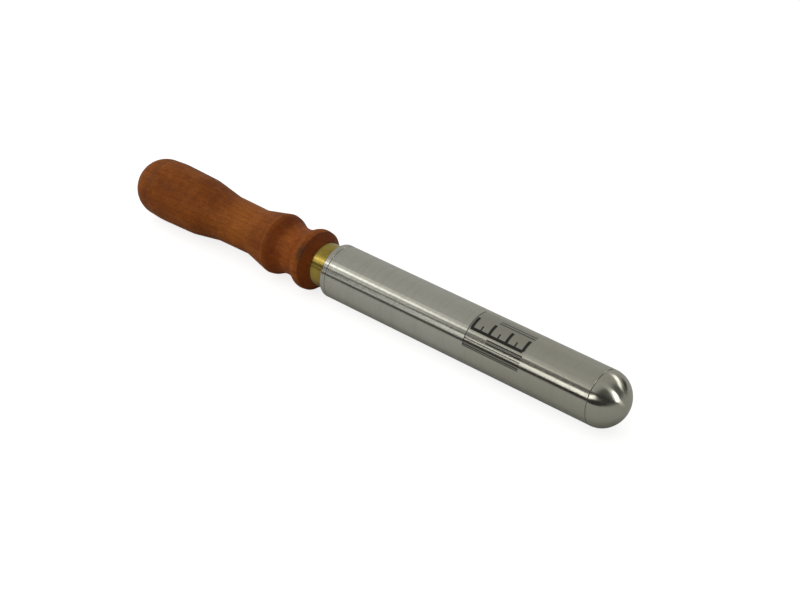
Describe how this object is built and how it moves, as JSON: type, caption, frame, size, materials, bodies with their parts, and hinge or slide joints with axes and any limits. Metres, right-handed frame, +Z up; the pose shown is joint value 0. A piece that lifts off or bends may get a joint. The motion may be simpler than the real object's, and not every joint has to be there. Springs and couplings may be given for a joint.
{
  "type": "garden dibber",
  "caption": "Garden dibber with a turned hardwood handle, a brass ferrule and a straight stainless steel body with a domed nose.",
  "frame": {"origin": "centre of the tool's length on the lowest line of its grip", "axes": "+X along the tool from the butt of the handle to the nose, +Z up, with the tool's axis level"},
  "size_m": [0.3166, 0.032, 0.032],
  "materials": {
    "handle_wood": "oiled satin",
    "ferrule_brass": "turned",
    "ground_stainless": "ground round the axis",
    "insert_brass": "machined",
    "zinc_steel": "bright zinc plated"
  },
  "bodies": {
    "root": {"handle": "handle_wood", "threaded_insert": "insert_brass", "ferrule": "ferrule_brass", "shoulder_plug": "ground_stainless", "body_tube": "ground_stainless", "nose_plug": "ground_stainless", "tie_rod": "zinc_steel", "washer": "zinc_steel", "lock_nut": "zinc_steel"}
  },
  "joints": []
}
